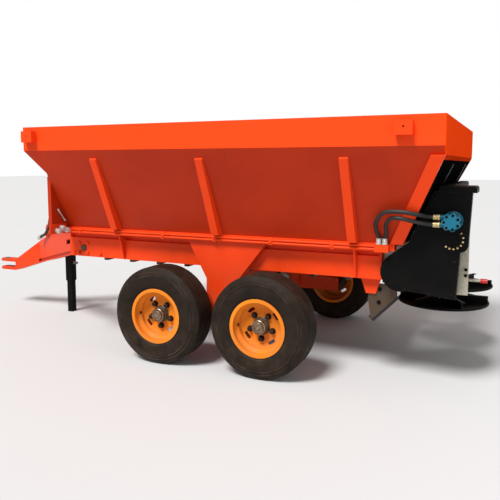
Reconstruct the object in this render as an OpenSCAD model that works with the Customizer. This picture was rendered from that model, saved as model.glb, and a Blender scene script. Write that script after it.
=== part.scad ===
// Towed fertilizer spreader: a V hopper on a tandem bogie, with a floor conveyor and two spinner discs.
// Millimetres. +X is forward, +Y is left and +Z is up. The origin is on the ground, under the
// middle of the machine's length. Places along X are measured from the middle of the bogie.

/* [Wheels] */
// Diameter of a tyre
tyre_d = 760; // [740:5:780]
// Width of a tyre
tyre_w = 264; // [254:2:274]
// Diameter over a rim's flanges
rim_d = 428; // [416:2:436]
// Width over a rim's flanges
rim_w = 242; // [230:2:246]
// Distance between the front and the rear axle
axle_gap = 855; // [830:5:900]
// Distance between the left and the right tyres' middle planes
track = 1860; // [1850:5:1900]
// Diameter of a stub axle
axle_d = 60; // [50:1:66]
// Depth of the dished disc behind the rim's outer edge
dish = 93; // [80:1:100]
// Number of wheel studs
studs = 5; // [4:1:6]
// Number of hand holes in a rim
hand_holes = 4; // [3:1:5]

/* [Bogie] */
// Height of the bogie's pivot
pivot_z = 420; // [410:5:440]
// Diameter of the bogie's pivot pin
pin_d = 50; // [40:1:60]
// Thickness of a walking beam
walk_t = 75; // [65:1:80]
// Thickness of a hanger plate
hanger_t = 12; // [8:1:14]
// Half width of a hanger's neck
neck = 135; // [125:5:150]

/* [Frame] */
// Distance from a tyre's middle plane to the frame's outer face
frame_inset = 240; // [235:1:250]
// Height of the frame's underside
frame_z = 735; // [720:5:740]
// Height of the ledge on top of the frame
ledge_z = 955; // [950:1:965]
// Thickness of the folded frame sheet
fold_t = 8; // [6:0.5:10]
// Reach of the frame in front of the bogie's middle
frame_front = 1550; // [1540:5:1570]
// Reach of the frame behind the bogie's middle
frame_rear = 1220; // [1200:5:1225]
// Height of the sill tube between frame and hopper
sill_h = 50; // [45:1:55]
// Width of the sill tube
sill_w = 75; // [65:1:80]

/* [Hopper] */
// Reach of the hopper's rim in front of its bulkhead
front_lean = 147; // [140:1:155]
// Reach of the hopper's floor behind the frame
rear_over = 170; // [165:1:180]
// Width over the hopper's top
hopper_w = 2200; // [2160:5:2240]
// Height of the hopper's top
hopper_top = 1846; // [1830:1:1880]
// Height of the upright band along the top
band_h = 191; // [170:1:210]
// Thickness of the hopper sheet
sheet = 5; // [4:0.5:6]
// Distance from the frame's front to the upright bulkhead
bulkhead_set = 44; // [40:1:50]
// Height of the front slope between the band and the bulkhead
front_drop = 185; // [170:5:200]
// Distance from the hopper's side to the bulkhead's edge
bulkhead_in = 130; // [120:5:150]
// Height of the rear band over the sloped rear wall
rear_band_h = 246; // [230:1:260]
// Lean of the rear wall from top to foot
rear_lean = 290; // [285:1:300]
// Width of a side rib
rib_w = 60; // [50:1:70]
// Depth of a side rib at its foot
rib_depth = 62; // [50:1:70]

/* [Feed gate] */
// Distance from the chute's inside to the opening in the rear wall
gate_inset = 142; // [130:2:160]
// Height of the opening in the rear wall
gate_h = 240; // [220:5:260]

/* [Conveyor] */
// Height of the conveyor shafts
shaft_z = 810; // [806:1:814]
// Diameter of the conveyor shafts
shaft_d = 50; // [40:1:55]
// Pitch radius of the chain sprockets
chain_r = 85; // [80:1:88]
// Gap between a slat's end and the chute's inside
slat_gap = 52; // [46:1:60]
// Distance from a slat's end to the middle of the chain strand
strand_in = 80; // [70:2:100]
// Number of slats on one run of the conveyor
slats = 10; // [8:1:12]

/* [Drawbar] */
// Reach of the hitch ears in front of the bogie's middle
hitch_reach = 3140; // [3120:5:3160]
// Radius of the hitch pin bore
hitch_r = 16.5; // [14:0.5:18]
// Height of the hitch's middle
hitch_z = 452; // [445:1:460]
// Opening between the hitch ears
throat = 64; // [56:1:70]
// Thickness of a hitch ear
ear_t = 26; // [20:1:30]
// Width of the hitch nose
nose_w = 120; // [110:2:130]
// Length of the hitch nose with its ears
nose_l = 580; // [560:5:600]
// Thickness of a drawbar plate
rail_t = 12; // [10:1:16]
// Bow of the drawbar's upper edge
rail_crown = 40; // [20:1:45]

/* [Parking stand] */
// Distance of the stand behind the hitch nose
stand_back = 380; // [360:5:400]
// Width of the square leg
leg_w = 60; // [50:1:64]
// Gap between leg and sleeve
leg_gap = 0.5; // [0.3:0.1:2]
// Wall of the sleeve
sleeve_t = 7; // [5:0.5:9]

/* [Spreading unit] */
// Distance from the frame's rear end to the spinner shafts
disc_back = 390; // [385:1:400]
// Diameter of a spinner disc
disc_d = 640; // [610:2:644]
// Distance between the two spinner shafts
disc_gap = 660; // [656:2:680]
// Height of a spinner disc
disc_z = 530; // [520:1:540]
// Number of vanes on a disc
vanes = 6; // [4:1:8]
// Height of a vane
vane_h = 64; // [56:1:68]
// Rise of a spinner disc from its flat middle to its edge
disc_rise = 16; // [10:1:20]
// Distance from the frame's outer face to the chute's inside
chute_inset = 78; // [76:1:82]
// Thickness of the chute's sheet
chute_t = 8; // [6:0.5:9]
// Distance from the hopper's rear band down to the chute's top
hood_drop = 240; // [230:1:250]
// Reach of the chute behind the spinner shafts
chute_over = 190; // [185:1:195]
// Distance from the left side plate's rear edge in to the chute's back plate
back_set = 120; // [112:1:122]
// Thickness of the chain guard
guard_t = 80; // [70:1:85]
// Gap between chute and chain guard
guard_gap = 60; // [50:1:65]
// Diameter of the conveyor's hydraulic motor
motor_d = 120; // [110:1:130]

/* [Hidden] */
$fn = 48;
paint = [0.93, 0.24, 0.07];
rim_paint = [0.96, 0.55, 0.10];
tyre_black = [0.09, 0.085, 0.08];
gloss_black = [0.05, 0.05, 0.055];
zinc = [0.62, 0.63, 0.62];
iron = [0.33, 0.30, 0.28];
steel = [0.55, 0.55, 0.54];
blue = [0.13, 0.50, 0.67];
red = [0.75, 0.08, 0.08];
rubber = [0.06, 0.06, 0.06];

// Shared places worked out from the sizes above
disc_x = frame_rear + disc_back;
bogie_x = (disc_x + disc_d / 2 - hitch_reach) / 2;
wheel_z = tyre_d / 2;
wheel_y = track / 2;
frame_y = wheel_y - frame_inset;
sill_z = ledge_z + sill_h;
sill_y = frame_y + 10;
sill_face = sill_y + sill_w;
floor_y = sill_face - 6;
top_y = hopper_w / 2;
band_z = hopper_top - band_h;
rear_band_z = hopper_top - rear_band_h;
running = 0.4;
side_lean = (top_y - floor_y) / (band_z - sill_z);
rear_foot = frame_rear + rear_over;
hopper_rear = rear_foot + rear_lean;
rear_slope = rear_lean / (rear_band_z - sill_z);
bulkhead_x = frame_front - bulkhead_set;
bulkhead_top = band_z - front_drop;
bulkhead_y = top_y - bulkhead_in;
hopper_front = bulkhead_x + front_lean;
chute_y = frame_y - chute_inset;
chute_out = chute_y + chute_t;
chute_z = frame_z - 75;
chute_top = rear_band_z - hood_drop;
chute_rear = disc_x + chute_over;
back_x = chute_rear - back_set;
guard_y = chute_out + guard_gap;
guard_face = guard_y + guard_t;
gate_w = 2 * (chute_y - gate_inset);
slat_l = 2 * (chute_y - slat_gap);
strand_y = slat_l / 2 - strand_in;

// Points of an arc about a centre, from angle a to angle b
function arc(centre, r, a, b) = [for (i = [0:5]) centre + r * [cos(a + (b - a) * i / 5), sin(a + (b - a) * i / 5)]];
// Outer Y of the hopper's sloped side at height z
function side_y(z) = floor_y + (z - sill_z) * side_lean;
// Distance of the rear wall's outer face behind the bogie's middle at height z
function rear_x(z) = rear_foot + (z - sill_z) * rear_slope;

// Moves a piece from the bogie's middle to the machine's origin
module place() translate([bogie_x, 0, 0]) children();
// Turns a left piece into its right twin when side is -1
module flip(side) mirror([0, side < 0 ? 1 : 0, 0]) children();
// Extrudes an X-Z outline along Y
module along_y(y) translate([0, y[1], 0]) rotate([90, 0, 0]) linear_extrude(y[1] - y[0]) children();
// Extrudes a Y-Z outline along X
module along_x(x) translate([x[0], 0, 0]) rotate([90, 0, 90]) linear_extrude(x[1] - x[0]) children();
// A plain block between two places on each axis
module box(x, y, z) translate([x[0], y[0], z[0]]) cube([x[1] - x[0], y[1] - y[0], z[1] - z[0]]);
// A flat rectangle between two places on each axis
module patch(a, b) translate([a[0], b[0]]) square([a[1] - a[0], b[1] - b[0]]);
// Round bars along each axis
module rod_x(y, z, d, x) translate([x[0], y, z]) rotate([0, 90, 0]) cylinder(d = d, h = x[1] - x[0]);
module rod_y(x, z, d, y) translate([x, y[1], z]) rotate([90, 0, 0]) cylinder(d = d, h = y[1] - y[0]);
module rod_z(x, y, d, z) translate([x, y, z[0]]) cylinder(d = d, h = z[1] - z[0]);

// Wheels: tyre, dished rim and hub, turned about Y. In each outline the first column is the
// radius and the second is the distance outward from the tyre's middle plane.
rim_r = rim_d / 2;
flange_h = 19;
seat_r = rim_r - flange_h;
rim_t = 6;
well_r = seat_r - 23;
disc_face = rim_w / 2 - dish;
disc_t = 10;
stud_r = 92;
stud_d = 18;
pilot_r = 66;
hub_in = walk_t / 2 + 30;
walk_y = frame_y + 7.5;

module wheel_at(end, side) place() translate([end * axle_gap / 2, 0, wheel_z]) flip(side)
    translate([0, wheel_y, 0]) rotate([-90, 0, 0]) children();

// Sidewall of a tyre as [share of the height over the rim, share of the half width]
SIDEWALL = [[0.04, 0.875], [0.12, 0.94], [0.3, 0.99], [0.46, 1], [0.6, 0.984], [0.61, 1], [0.64, 0.994],
    [0.65, 0.968], [0.74, 0.925], [0.75, 0.94], [0.78, 0.925], [0.79, 0.9], [0.83, 0.875], [0.94, 0.79], [0.98, 0.74]];

module tyre(end, side) color(tyre_black) wheel_at(end, side) {
    height = tyre_d / 2 - rim_r;
    half = tyre_w / 2;
    bead = rim_w / 2 - rim_t - 0.5;
    side_pts = [for (p = SIDEWALL) [rim_r + p[0] * height, p[1] * half]];
    back_pts = [for (i = [len(side_pts) - 1:-1:0]) [side_pts[i][0], -side_pts[i][1]]];
    groove_gap = half * 0.27;
    rotate_extrude() difference() {
        polygon(concat([[seat_r + 0.3, -bead], [seat_r + 0.3, bead], [rim_r + 1, bead]], side_pts,
            [[tyre_d / 2, half * 0.6], [tyre_d / 2, -half * 0.6]], back_pts, [[rim_r + 1, -bead]]));
        for (i = [-2:2]) translate([tyre_d / 2 - 10, i * groove_gap - 4]) square([20, 8]);
    }
}

module rim(end, side) color(rim_paint) wheel_at(end, side) {
    half = rim_w / 2;
    lip = half - rim_t;
    inner = seat_r - rim_t;
    well_in = well_r - rim_t;
    hole_r = (stud_r + well_in) / 2 + 8;
    difference() {
        rotate_extrude() {
            polygon([[rim_r, half], [rim_r, lip], [seat_r, lip], [seat_r, 85], [well_r, 60], [well_r, -20],
                [seat_r, -50], [seat_r, -lip], [rim_r, -lip], [rim_r, -half], [inner, -half], [inner, -48],
                [well_in, -18], [well_in, 58], [inner, 83], [inner, half]]);
            polygon([[well_in + 1, disc_face + 12], [well_in + 1, disc_face], [well_in - 34, disc_face - disc_t],
                [pilot_r, disc_face - disc_t], [pilot_r, disc_face], [well_in - 38, disc_face]]);
        }
        for (i = [0:studs - 1]) rotate(i * 360 / studs + 90)
            translate([stud_r, 0, disc_face - 20]) cylinder(d = stud_d + 2, h = 40);
        for (i = [0:hand_holes - 1]) rotate(i * 360 / hand_holes + 36) {
            rotate(-8) rotate_extrude(angle = 16) translate([hole_r - 12, disc_face - 20]) square([24, 50]);
            for (end_turn = [-8, 8]) rotate(end_turn)
                translate([hole_r, 0, disc_face - 20]) cylinder(d = 24, h = 50);
        }
    }
}

module hub(end, side) color(iron) wheel_at(end, side) {
    back = disc_face - disc_t;
    inboard = walk_y + hub_in - wheel_y;
    difference() {
        union() {
            rotate_extrude() polygon([[0, inboard], [52, inboard], [55, back - 60], [62, back - 14], [stud_r + 22, back - 12],
                [stud_r + 22, back], [pilot_r - 1, back], [pilot_r - 1, disc_face + 8], [60, disc_face + 12],
                [60, disc_face + 30], [52, disc_face + 32], [52, disc_face + 52], [36, disc_face + 58],
                [36, disc_face + 64], [0, disc_face + 64]]);
            for (i = [0:studs - 1]) rotate(i * 360 / studs + 90) translate([stud_r, 0, 0]) {
                translate([0, 0, back - 6]) cylinder(d = stud_d, h = disc_t + 32);
                translate([0, 0, disc_face]) cylinder(d = 31, h = 16, $fn = 6);
            }
        }
        translate([0, 0, inboard - 1]) cylinder(d = axle_d + 2 * running, h = disc_face + 21 - inboard);
    }
}

// Bogie: on each side a walking beam swings in a funnel-shaped hanger and carries two stub axles
hanger_in = walk_y - walk_t / 2 - 8;
hanger_out = walk_y + walk_t / 2 + 10;
boss_d = 120;
collar = 16;

module walking_beam(side) color(paint) place() flip(side) {
    reach = axle_gap / 2 + 85;
    low = wheel_z - 55;
    y = [walk_y - walk_t / 2, walk_y + walk_t / 2];
    difference() {
        union() {
            along_y(y) polygon([[-reach, low], [reach, low], [reach, wheel_z + 60], [170, pivot_z + 80],
                [-170, pivot_z + 80], [-reach, wheel_z + 60]]);
            rod_y(0, pivot_z, boss_d, [hanger_in, hanger_out]);
        }
        rod_y(0, pivot_z, pin_d + 2 * running, [0, top_y]);
    }
    for (end = [-1, 1]) {
        rod_y(end * axle_gap / 2, wheel_z, 130, [y[1], y[1] + 14]);
        rod_y(end * axle_gap / 2, wheel_z, axle_d, [y[1], wheel_y + disc_face + 14]);
    }
}

// Outline of a hanger, set in from its edges by t
function funnel(t) = [[-neck + t, pivot_z + 100], [neck - t, pivot_z + 100], [neck - t, frame_z - 85 + t / 2],
    [300 - t, ledge_z - fold_t - t], [-370 + t, ledge_z - fold_t - t], [-neck + t, frame_z - 85 + t / 2]];

module hanger(side) color(paint) place() flip(side) {
    outer = hanger_out + hanger_t;
    eye = [for (y = [hanger_in - hanger_t, hanger_out]) [y, y + hanger_t]];
    difference() {
        along_y([hanger_in, outer]) polygon(funnel(0));
        along_y([hanger_in - 1, hanger_out]) polygon(funnel(hanger_t));
        box([-500, 500], [0, frame_y], [frame_z, sill_z]);
        box([-500, 500], [0, hanger_out], [0, pivot_z + 100 + hanger_t]);
    }
    for (y = eye) difference() {
        box([-neck, neck], y, [pivot_z - 70, y[0] < frame_y ? frame_z : pivot_z + 100]);
        rod_y(0, pivot_z, pin_d + 2 * running, [0, top_y]);
    }
}

module pivot_pins() color(steel) place() for (side = [-1, 1]) flip(side) {
    rod_y(0, pivot_z, pin_d, [hanger_in - hanger_t - collar, hanger_out + hanger_t + collar]);
    rod_y(0, pivot_z, pin_d + 34, [hanger_in - hanger_t - collar, hanger_in - hanger_t]);
    rod_y(0, pivot_z, pin_d + 34, [hanger_out + hanger_t, hanger_out + hanger_t + collar]);
}

// Frame: two folded beams with a stepped side and an outward ledge, joined by box crossmembers
step_z = ledge_z - 55;
step_in = 40;
ledge_y = frame_y + 80;
web_y = frame_y - fold_t;
idler_x = frame_front - 142;
link_h = 12;
deck_t = 6;
deck_z = shaft_z + chain_r - link_h - 3;
// Places of the side ribs along X, front to rear; the outer two stand over gussets on the frame
RIB_X = [bulkhead_x - 540, 20, 342 - rear_foot];
GUSSET_X = [RIB_X[0], RIB_X[2]];
gusset_t = 10;
bite = 2;
bracket_t = 12;
bracket_y = frame_y - 62;

module frame_beam(side) color(paint) place() flip(side) {
    difference() {
        along_x([-frame_rear, frame_front]) {
            patch([frame_y - 70, frame_y], [frame_z, frame_z + fold_t]);
            patch([web_y, frame_y], [frame_z, step_z]);
            patch([frame_y - step_in, frame_y], [step_z - fold_t, step_z]);
            patch([frame_y - step_in, frame_y - step_in + fold_t], [step_z - fold_t, ledge_z]);
            patch([frame_y - step_in, ledge_y], [ledge_z - fold_t, ledge_z]);
        }
        rod_y(idler_x, shaft_z, shaft_d + 14, [0, top_y]);
    }
    // End plate, seat of the chute's side and the tapered bracket that holds the splash plate
    box([-frame_rear - 10, bite - frame_rear], [chute_out + 4, frame_y], [frame_z, ledge_z]);
    box([5 - frame_rear, 85 - frame_rear], [chute_out, web_y + bite], [frame_z + 20, step_z - 20]);
    along_y([bracket_y, bracket_y + bracket_t]) polygon([[-frame_rear, frame_z + bite],
        [150 - frame_rear, frame_z + bite], [110 - frame_rear, frame_z - 115], [40 - frame_rear, frame_z - 115]]);
    inner = frame_y - step_in + fold_t - bite;
    for (x = GUSSET_X) along_x([x - gusset_t / 2, x + gusset_t / 2]) polygon([[frame_y - bite, frame_z + 5],
        [frame_y + 15, frame_z + 5], [ledge_y - 2, ledge_z - fold_t + bite], [inner, ledge_z - fold_t + bite],
        [inner, step_z - bite], [frame_y - bite, step_z - bite]]);
}

module crossmembers() color(paint) place() {
    for (x = [frame_front - 450, 330, -330, 220 - frame_rear])
        box([x - 30, x + 30], [-web_y, web_y], [deck_z - deck_t - 80, deck_z - deck_t]);
    box([frame_front, frame_front + rail_t], [-frame_y, frame_y], [frame_z, ledge_z]);
}

module sill(side) color(paint) place() flip(side) {
    x = [58 - rear_foot, bulkhead_x];
    wall = 6;
    difference() {
        box(x, [sill_y, sill_face], [ledge_z, sill_z]);
        box([x[0] - 1, x[1] + 1], [sill_y + wall, sill_face - wall], [ledge_z + wall, sill_z - wall]);
    }
}

// Drawbar: two bowed plate rails run down and in to a boxed nose with a clevis. Each rail's side
// steps in over its lower flange, as the frame's does under its ledge.
rail_x = frame_front + rail_t;
nose_x = hitch_reach - nose_l;
nose_tip = hitch_reach - 240;
stand_x = nose_x - stand_back;
nose_half = nose_w / 2;
nose_drop = 235;
rail_y0 = frame_y - step_in;
rail_skew = (rail_y0 - nose_half) / (nose_x - rail_x);
rail_wide = rail_t * sqrt(1 + rail_skew * rail_skew);
rail_parts = 8;
rail_foot = 50;
foot_in = 24;
fold_w = 55;
eye_x = hitch_reach - nose_half;
ear_top = hitch_z + throat / 2 + ear_t;
ear_low = hitch_z - throat / 2 - ear_t;

// Outer Y of the left rail at x, and the height of its lower edge
function rail_y(x) = rail_y0 - (x - rail_x) * rail_skew;
function rail_low(x) = frame_z - (x - rail_x) * nose_drop / (nose_x - rail_x);
// Point i of the rail's bowed upper edge, and that edge's height at x
function rail_node(i) = let (t = i / rail_parts)
    [rail_x + t * (nose_x - rail_x), ledge_z - t * nose_drop + 4 * rail_crown * t * (1 - t)];
function rail_top(x) = let (i = floor((x - rail_x) / (nose_x - rail_x) * rail_parts), a = rail_node(i), b = rail_node(i + 1))
    a[1] + (b[1] - a[1]) * (x - a[0]) / (b[0] - a[0]);
// Side view of a band along the rail's lower edge, and of one between that edge and the upper one
function low_band(low, high) = [[rail_x, rail_low(rail_x) + low], [nose_x, rail_low(nose_x) + low],
    [nose_x, rail_low(nose_x) + high], [rail_x, rail_low(rail_x) + high]];
function top_edge(down) = [for (i = [rail_parts:-1:0]) rail_node(i) - [0, down]];

// Keeps an outline to a strip along the left rail that lies between two depths from its outer face
module on_rail(depth) intersection() {
    linear_extrude(ledge_z + rail_crown) polygon([[rail_x, rail_y0 - depth[0]], [nose_x, nose_half - depth[0]],
        [nose_x, nose_half - depth[1]], [rail_x, rail_y0 - depth[1]]]);
    along_y([-frame_y, frame_y]) children();
}

module drawbar(side) color(paint) place() flip(side) difference() {
    web_low = rail_foot - rail_t;
    union() {
        on_rail([0, rail_wide]) polygon(concat([low_band(web_low, 0)[0], low_band(web_low, 0)[1]], top_edge(0)));
        on_rail([0, fold_w]) polygon(concat(reversed(top_edge(0)), top_edge(rail_t)));
        on_rail([0, foot_in + rail_wide]) polygon(low_band(web_low, rail_foot));
        on_rail([foot_in, foot_in + rail_wide]) polygon(low_band(0, rail_foot));
        on_rail([0, fold_w]) polygon(low_band(0, rail_t));
    }
    along_y([0, frame_y]) polygon([for (p = [[60, 108], [170, 108], [170, 150], [60, 150]])
        [rail_x + p[0], rail_low(rail_x + p[0]) + p[1]]]);
}

// Side view of the nose, set in from its faces by t
function nose_side(t) = [[nose_x, frame_z - nose_drop + t], [nose_tip - 2 * t, ear_low + t],
    [nose_tip - 2 * t, ear_top - t], [nose_x, ledge_z - nose_drop - t]];

module hitch_nose() color(paint) place() {
    difference() {
        along_y([-nose_half, nose_half]) polygon(nose_side(0));
        along_y([-nose_half + rail_t, nose_half - rail_t]) polygon(nose_side(rail_t));
    }
    for (z = [ear_low, ear_top - ear_t]) difference() {
        union() {
            box([nose_tip, eye_x], [-nose_half, nose_half], [z, z + ear_t]);
            rod_z(eye_x, 0, nose_w, [z, z + ear_t]);
        }
        rod_z(eye_x, 0, 2 * hitch_r, [z - 1, z + ear_t + 1]);
    }
}

// Parking stand: a square leg slides in a sleeve that a crossbar holds between the rails
sleeve_w = leg_w + 2 * leg_gap + 2 * sleeve_t;
bar_x = [stand_x - 35, stand_x + 35];
bar_z = [rail_low(bar_x[0]) + rail_foot + 15, rail_low(bar_x[0]) + rail_foot + 80];
sleeve_z = [bar_z[0] - 332, bar_z[1] + 22];
foot_t = 8;

module stand_sleeve() color(gloss_black) place() difference() {
    union() {
        box([stand_x - sleeve_w / 2, stand_x + sleeve_w / 2], [-sleeve_w / 2, sleeve_w / 2], sleeve_z);
        translate([0, 0, bar_z[0]]) linear_extrude(bar_z[1] - bar_z[0]) polygon([for (side = [1, -1])
            for (x = side > 0 ? bar_x : [bar_x[1], bar_x[0]]) [x, side * (rail_y(x) - rail_wide)]]);
    }
    hole = leg_w / 2 + leg_gap;
    box([stand_x - hole, stand_x + hole], [-hole, hole], [0, ledge_z]);
}

module stand_leg() color(gloss_black) place() {
    wall = 5;
    half = leg_w / 2;
    difference() {
        box([stand_x - half, stand_x + half], [-half, half], [foot_t, sleeve_z[1] - 25]);
        box([stand_x - half + wall, stand_x + half - wall], [-half + wall, half - wall], [foot_t - 1, ledge_z]);
    }
    box([stand_x - half, stand_x + half], [-half, half], [0, foot_t]);
}

// Hopper: four sheet walls with an upright band on top, folded in at the rim
lip = 50;
bulkhead_fold = 30;
side_panel = [[floor_y, sill_z], [top_y, band_z], [top_y, hopper_top], [top_y - lip, hopper_top],
    [top_y - lip, hopper_top - sheet], [top_y - sheet, hopper_top - sheet], [top_y - sheet, band_z],
    [floor_y - sheet, sill_z]];
cross_section = [[-floor_y, sill_z], [floor_y, sill_z], [top_y, band_z], [top_y, hopper_top],
    [-top_y, hopper_top], [-top_y, band_z]];

// Front and rear lines of the hopper's side view, set in by t
function front_line(t) = [[hopper_front - t, hopper_top], [hopper_front - t, band_z],
    [bulkhead_x - t, bulkhead_top], [bulkhead_x - t, sill_z]];
function rear_line(t) = [[-rear_foot + t, sill_z], [-hopper_rear + t, rear_band_z], [-hopper_rear + t, hopper_top]];
function reversed(list) = [for (i = [len(list) - 1:-1:0]) list[i]];

module end_wall(outline) intersection() {
    along_y([-top_y, top_y]) polygon(outline);
    along_x([-hopper_rear, hopper_front]) polygon(cross_section);
}

module hopper_side(side) color(paint) place() flip(side) intersection() {
    along_x([-hopper_rear, hopper_front]) polygon(side_panel);
    along_y([0, top_y]) polygon(concat(front_line(sheet), rear_line(sheet)));
}

module hopper_front_wall() color(paint) place() {
    end_wall(concat(front_line(0), reversed(front_line(sheet))));
    along_x([bulkhead_x - sheet, bulkhead_x]) {
        patch([-bulkhead_y, bulkhead_y], [sill_z, bulkhead_top]);
        patch([-sill_y, sill_y], [ledge_z, sill_z]);
    }
    for (y = [-bulkhead_y, bulkhead_y - sheet])
        box([bulkhead_x - sheet, bulkhead_x + bulkhead_fold], [y, y + sheet], [sill_z, bulkhead_top - bulkhead_fold]);
    box([hopper_front - lip, hopper_front], [lip - top_y, top_y - lip], [hopper_top - sheet, hopper_top]);
}

module hopper_rear_wall() color(paint) place() {
    difference() {
        end_wall(concat(rear_line(0), reversed(rear_line(sheet))));
        box([-hopper_rear, 0], [-gate_w / 2, gate_w / 2], [0, sill_z + gate_h]);
    }
    box([-hopper_rear, lip - hopper_rear], [lip - top_y, top_y - lip], [hopper_top - sheet, hopper_top]);
}

// Tapered side ribs, the corner post along the rear edge and the stake pockets on the band
rib_top = band_z - 65;
rib_sheet = 4;
post_w = 85;
post_t = 30;
POCKET_X = [hopper_front - 85, 243 - hopper_rear];
pocket = [110, 55, 90];

module ribs(side) color(paint) place() flip(side) {
    foot = floor_y + rib_depth;
    head = side_y(rib_top);
    for (x = RIB_X) difference() {
        along_x([x - rib_w / 2, x + rib_w / 2])
            polygon([[head, rib_top], [floor_y, sill_z], [foot, sill_z], [head + 14, rib_top - 12]]);
        along_x([x - rib_w / 2 + rib_sheet, x + rib_w / 2 - rib_sheet])
            polygon([[head - 40, rib_top - 60], [floor_y - 30, sill_z - 1], [foot - rib_sheet, sill_z - 1],
                [head - 20, rib_top - 60]]);
    }
    intersection() {
        along_y([0, top_y]) polygon([[-rear_foot, sill_z], [post_w - rear_foot, sill_z],
            [post_w - hopper_rear, rear_band_z], [-hopper_rear, rear_band_z]]);
        along_x([-hopper_rear, 0]) polygon([[floor_y, sill_z], [floor_y + post_t, sill_z],
            [top_y + post_t, band_z], [top_y, band_z]]);
    }
    for (x = POCKET_X) difference() {
        box([x - pocket[0] / 2, x + pocket[0] / 2], [top_y, top_y + pocket[1]],
            [hopper_top - 35 - pocket[2], hopper_top - 35]);
        box([x - pocket[0] / 2 + 6, x + pocket[0] / 2 - 6], [top_y + 6, top_y + pocket[1] - 6],
            [hopper_top - 36 - pocket[2], hopper_top - 41]);
        rod_y(x, hopper_top - 75, 14, [top_y + 20, top_y + 100]);
    }
}

// Feed gate: a plate slides up the sloped rear wall between two lipped guides
gate_t = 8;
gate_half = gate_w / 2 + 30;
gate_l = gate_h / cos(atan(rear_slope)) + 40;
guide_l = (rear_band_z - sill_z) / cos(atan(rear_slope)) - 52;
guide_w = 20;

// Places a piece in the rear wall's own frame: -X points out of the wall and Z runs up it
module on_rear_wall() place() translate([-rear_foot, 0, sill_z]) rotate([0, -atan(rear_slope), 0]) children();

module feed_gate() color(zinc) on_rear_wall() {
    box([-running - gate_t, -running], [-gate_half, gate_half], [-8, gate_l]);
    box([-running - 26, -running - gate_t], [-gate_half + 40, gate_half - 40], [gate_l - 8, gate_l]);
}

module gate_guides() color(paint) on_rear_wall() for (side = [-1, 1]) flip(side) {
    back = 2 * running + gate_t;
    y = gate_half + running;
    box([-back - 8, 0], [y, y + guide_w], [5, guide_l]);
    box([-back - 8, -back], [y - 22, y], [5, guide_l]);
}

// Floor conveyor: slats on two endless link chains run over a deck and round two flanged sprocket shafts
drive_x = -(frame_rear + 150);
link_d = 2 * link_h;
bar_h = 15;
block_t = 14;
plate_out = 12;
link_pin = 12;
pin_out = 15;
slat = [40, 25];
runs = 2 * slats;
pitch = (idler_x - drive_x) / runs;
body_r = chain_r * cos(30) - bar_h / 2 - running;
flange_r = chain_r + link_h - 4;
flange = [pin_out + 1, pin_out + 7];
notches = 12;

// Pins of one chain in order: the upper run, round the idler, the lower run and round the drive shaft
PINS = concat([for (k = [0:runs]) [drive_x + k * pitch, shaft_z + chain_r]],
    [for (a = [30, -30]) [idler_x + chain_r * cos(a), shaft_z + chain_r * sin(a)]],
    [for (k = [runs:-1:0]) [drive_x + k * pitch, shaft_z - chain_r]],
    [for (a = [210, 150]) [drive_x + chain_r * cos(a), shaft_z + chain_r * sin(a)]]);

module conveyor_deck() color(steel) place() translate([0, 0, deck_z - deck_t]) linear_extrude(deck_t) {
    patch([110 - frame_rear, idler_x - 100], [-web_y, web_y]);
    patch([drive_x + 100, 110 - frame_rear], [-chute_y, chute_y]);
}

// Side view of every second link of a chain, from link number first on
module links(first) for (i = [first:2:len(PINS) - 1]) {
    a = PINS[i];
    b = PINS[(i + 1) % len(PINS)];
    translate(a) circle(d = link_d);
    translate(b) circle(d = link_d);
    translate(a) rotate(atan2(b[1] - a[1], b[0] - a[0])) patch([0, norm(b - a)], [-bar_h / 2, bar_h / 2]);
}

module conveyor_chain() color(iron) place() {
    for (side = [-1, 1]) translate([0, side * strand_y, 0]) {
        along_y([-block_t / 2, block_t / 2]) links(0);
        for (y = [[-plate_out, -block_t / 2], [block_t / 2, plate_out]]) along_y(y) links(1);
        for (p = PINS) rod_y(p[0], p[1], link_pin, [-pin_out, pin_out]);
    }
    for (k = [1:2:runs]) {
        x = [drive_x + k * pitch - slat[0] / 2, drive_x + k * pitch + slat[0] / 2];
        r = chain_r + link_h - 2;
        box(x, [-slat_l / 2, slat_l / 2], [shaft_z + r, shaft_z + r + slat[1]]);
        box(x, [-slat_l / 2, slat_l / 2], [shaft_z - r - slat[1], shaft_z - r]);
    }
}

module conveyor_shafts() color(steel) place() for (end = [[drive_x, chute_out + 36], [idler_x, frame_y + 6]])
    translate([end[0], 0, shaft_z]) {
        rod_y(0, 0, shaft_d, [-end[1], end[1]]);
        for (side = [-1, 1]) translate([0, side * strand_y, 0]) {
            rod_y(0, 0, 2 * body_r, [-flange[1], flange[1]]);
            for (y = [[-flange[1], -flange[0]], flange]) along_y(y) difference() {
                circle(r = flange_r);
                for (i = [0:notches - 1]) rotate(i * 360 / notches) translate([flange_r, 0]) circle(d = 22);
            }
        }
    }

module shaft_bearings() color(iron) place() for (side = [-1, 1]) flip(side)
    for (seat = [[drive_x, chute_out], [idler_x, web_y - 32]]) difference() {
        union() {
            box([seat[0] - 60, seat[0] + 60], [seat[1], seat[1] + 14], [shaft_z - 55, shaft_z + 55]);
            rod_y(seat[0], shaft_z, shaft_d + 40, [seat[1], seat[1] + 32]);
        }
        rod_y(seat[0], shaft_z, shaft_d + 2 * running, [0, top_y]);
    }

// Rear chute: two side plates and a back plate lead the fertilizer down to the discs. The left side plate
// reaches further back and carries the chain guard.
module chute_side(side) color(zinc) place() flip(side) difference() {
    rear = side > 0 ? chute_rear : back_x;
    along_y([chute_y, chute_out]) polygon([[85 - frame_rear, frame_z + 20], [85 - frame_rear, step_z - 20],
        [20 - rear_foot, sill_z - 10], [-rear_x(sill_z) - 6, sill_z], [-rear_x(chute_top) - 6, chute_top],
        [-rear, chute_top], [-rear, chute_z], [130 - disc_x, chute_z]]);
    rod_y(drive_x, shaft_z, shaft_d + 12, [0, top_y]);
}

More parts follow.
